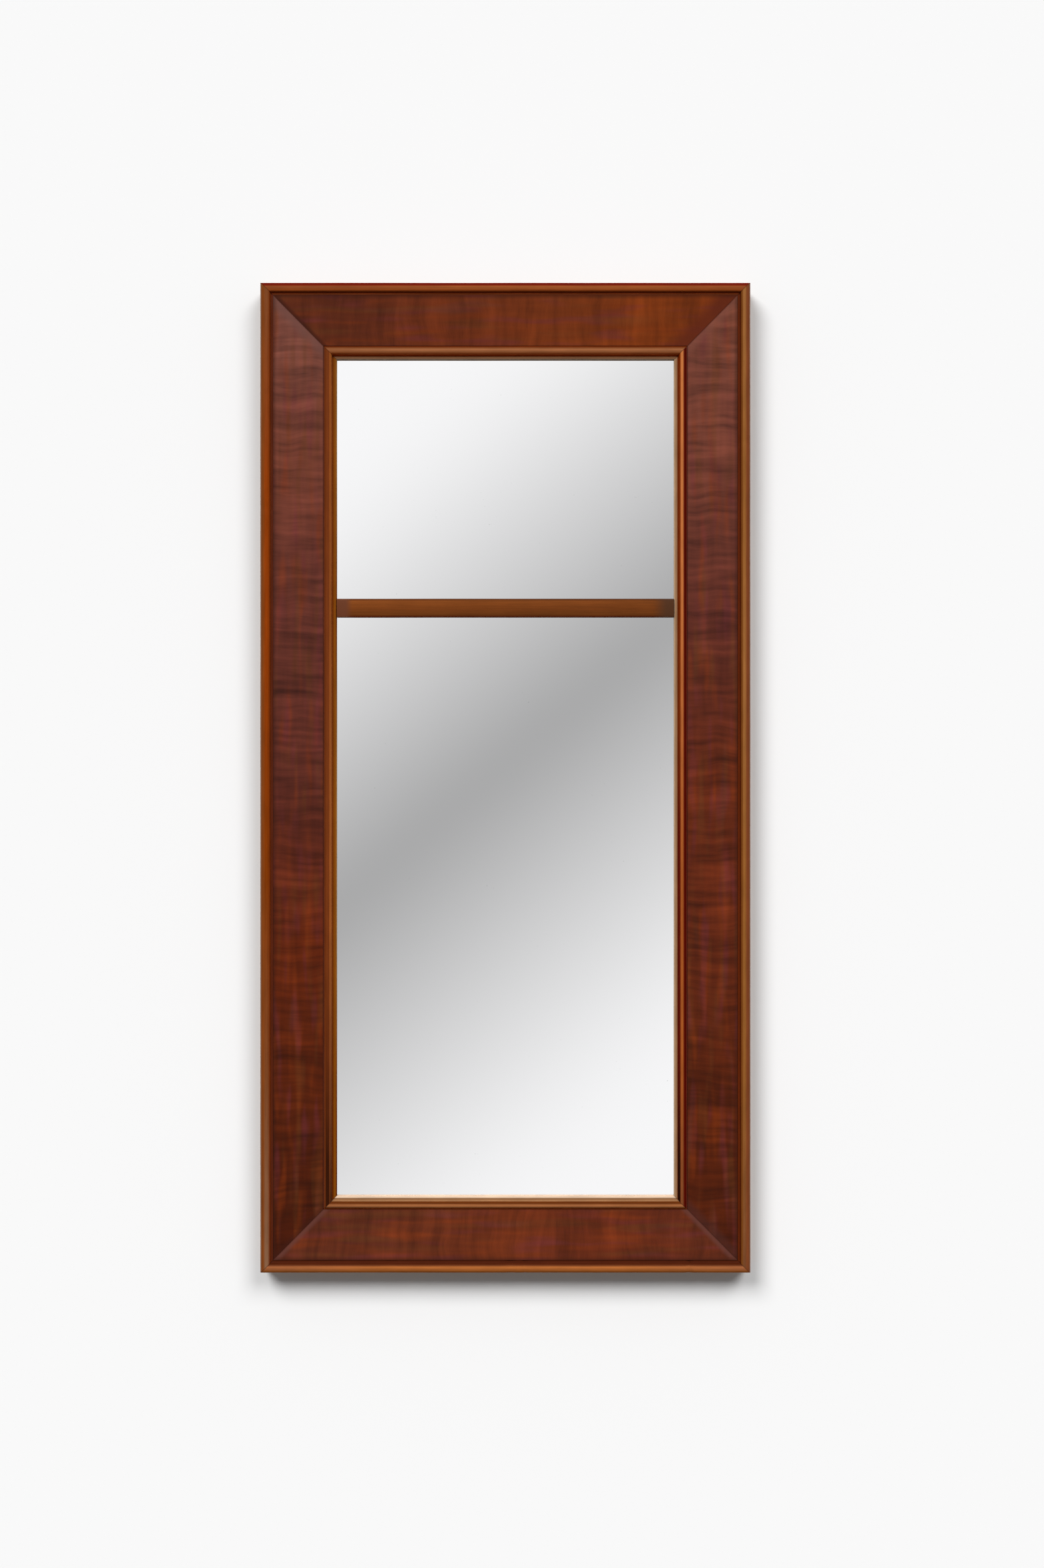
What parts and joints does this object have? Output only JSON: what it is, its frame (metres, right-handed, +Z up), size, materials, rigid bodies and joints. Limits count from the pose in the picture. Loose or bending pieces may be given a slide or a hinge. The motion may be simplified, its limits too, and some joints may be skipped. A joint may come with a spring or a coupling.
{
  "type": "pier mirror",
  "caption": "Tall wall mirror in a mitred, veneered frame with a rounded outer bead, its glass split by a crossbar into a short upper and a tall lower plate, hung by D-rings.",
  "frame": {"origin": "middle of the top rail's back face, which lies on the wall's side", "axes": "+X to the viewer's right, +Z up, +Y towards the wall, so the mirror faces -Y"},
  "size_m": [0.6, 0.043, 1.212],
  "materials": {
    "mahogany_veneer": "cross-grained, French polished",
    "mahogany_bead": "long-grained, French polished",
    "crossbar_veneer": "polished, a little dull",
    "softwood": "planed and stained pine",
    "hardwood": "planed",
    "backboard": "old planed pine, bare",
    "mirror_glass": "silvered flat glass with a plain edge",
    "nail_iron": "dark iron",
    "hanger_brass": "dulled brass",
    "screw_brass": "dulled brass"
  },
  "bodies": {
    "frame": {"core_top_rail": "softwood", "veneer_top_rail": "mahogany_veneer", "outer_bead_top_rail": "mahogany_bead", "sight_moulding_top_rail": "mahogany_bead", "core_right_stile": "softwood", "veneer_right_stile": "mahogany_veneer", "outer_bead_right_stile": "mahogany_bead", "sight_moulding_right_stile": "mahogany_bead", "core_bottom_rail": "softwood", "veneer_bottom_rail": "mahogany_veneer", "outer_bead_bottom_rail": "mahogany_bead", "sight_moulding_bottom_rail": "mahogany_bead", "core_left_stile": "softwood", "veneer_left_stile": "mahogany_veneer", "outer_bead_left_stile": "mahogany_bead", "sight_moulding_left_stile": "mahogany_bead", "corner_spline_top_left": "hardwood", "corner_spline_top_right": "hardwood", "corner_spline_bottom_left": "hardwood", "corner_spline_bottom_right": "hardwood", "crossbar": "hardwood", "crossbar_veneer": "crossbar_veneer", "upper_mirror_plate": "mirror_glass", "lower_mirror_plate": "mirror_glass", "glue_block_left_1": "softwood", "glue_block_left_2": "softwood", "glue_block_left_3": "softwood", "glue_block_left_4": "softwood", "glue_block_left_5": "softwood", "glue_block_right_1": "softwood", "glue_block_right_2": "softwood", "glue_block_right_3": "softwood", "glue_block_right_4": "softwood", "glue_block_right_5": "softwood", "backboard_1": "backboard", "backboard_2": "backboard", "backboard_3": "backboard", "backboard_nail_1": "nail_iron", "backboard_nail_2": "nail_iron", "backboard_nail_3": "nail_iron", "backboard_nail_4": "nail_iron", "backboard_nail_5": "nail_iron", "backboard_nail_6": "nail_iron", "backboard_nail_7": "nail_iron", "backboard_nail_8": "nail_iron", "backboard_nail_9": "nail_iron", "backboard_nail_10": "nail_iron", "backboard_nail_11": "nail_iron", "backboard_nail_12": "nail_iron", "left_hanger_strap": "hanger_brass", "left_hanger_screw_upper": "screw_brass", "left_hanger_screw_lower": "screw_brass", "right_hanger_strap": "hanger_brass", "right_hanger_screw_upper": "screw_brass", "right_hanger_screw_lower": "screw_brass"},
    "left_ring": {"left_hanger_ring": "hanger_brass"},
    "right_ring": {"right_hanger_ring": "hanger_brass"}
  },
  "joints": [
    {"name": "left_ring_swing", "type": "hinge", "parent": "frame", "child": "left_ring", "pos_m": [-0.265, 0.00365, -0.205], "axis": [1, 0, 0], "range_deg": [0, 180]},
    {"name": "right_ring_swing", "type": "hinge", "parent": "frame", "child": "right_ring", "pos_m": [0.265, 0.00365, -0.205], "axis": [1, 0, 0], "range_deg": [0, 180]}
  ]
}
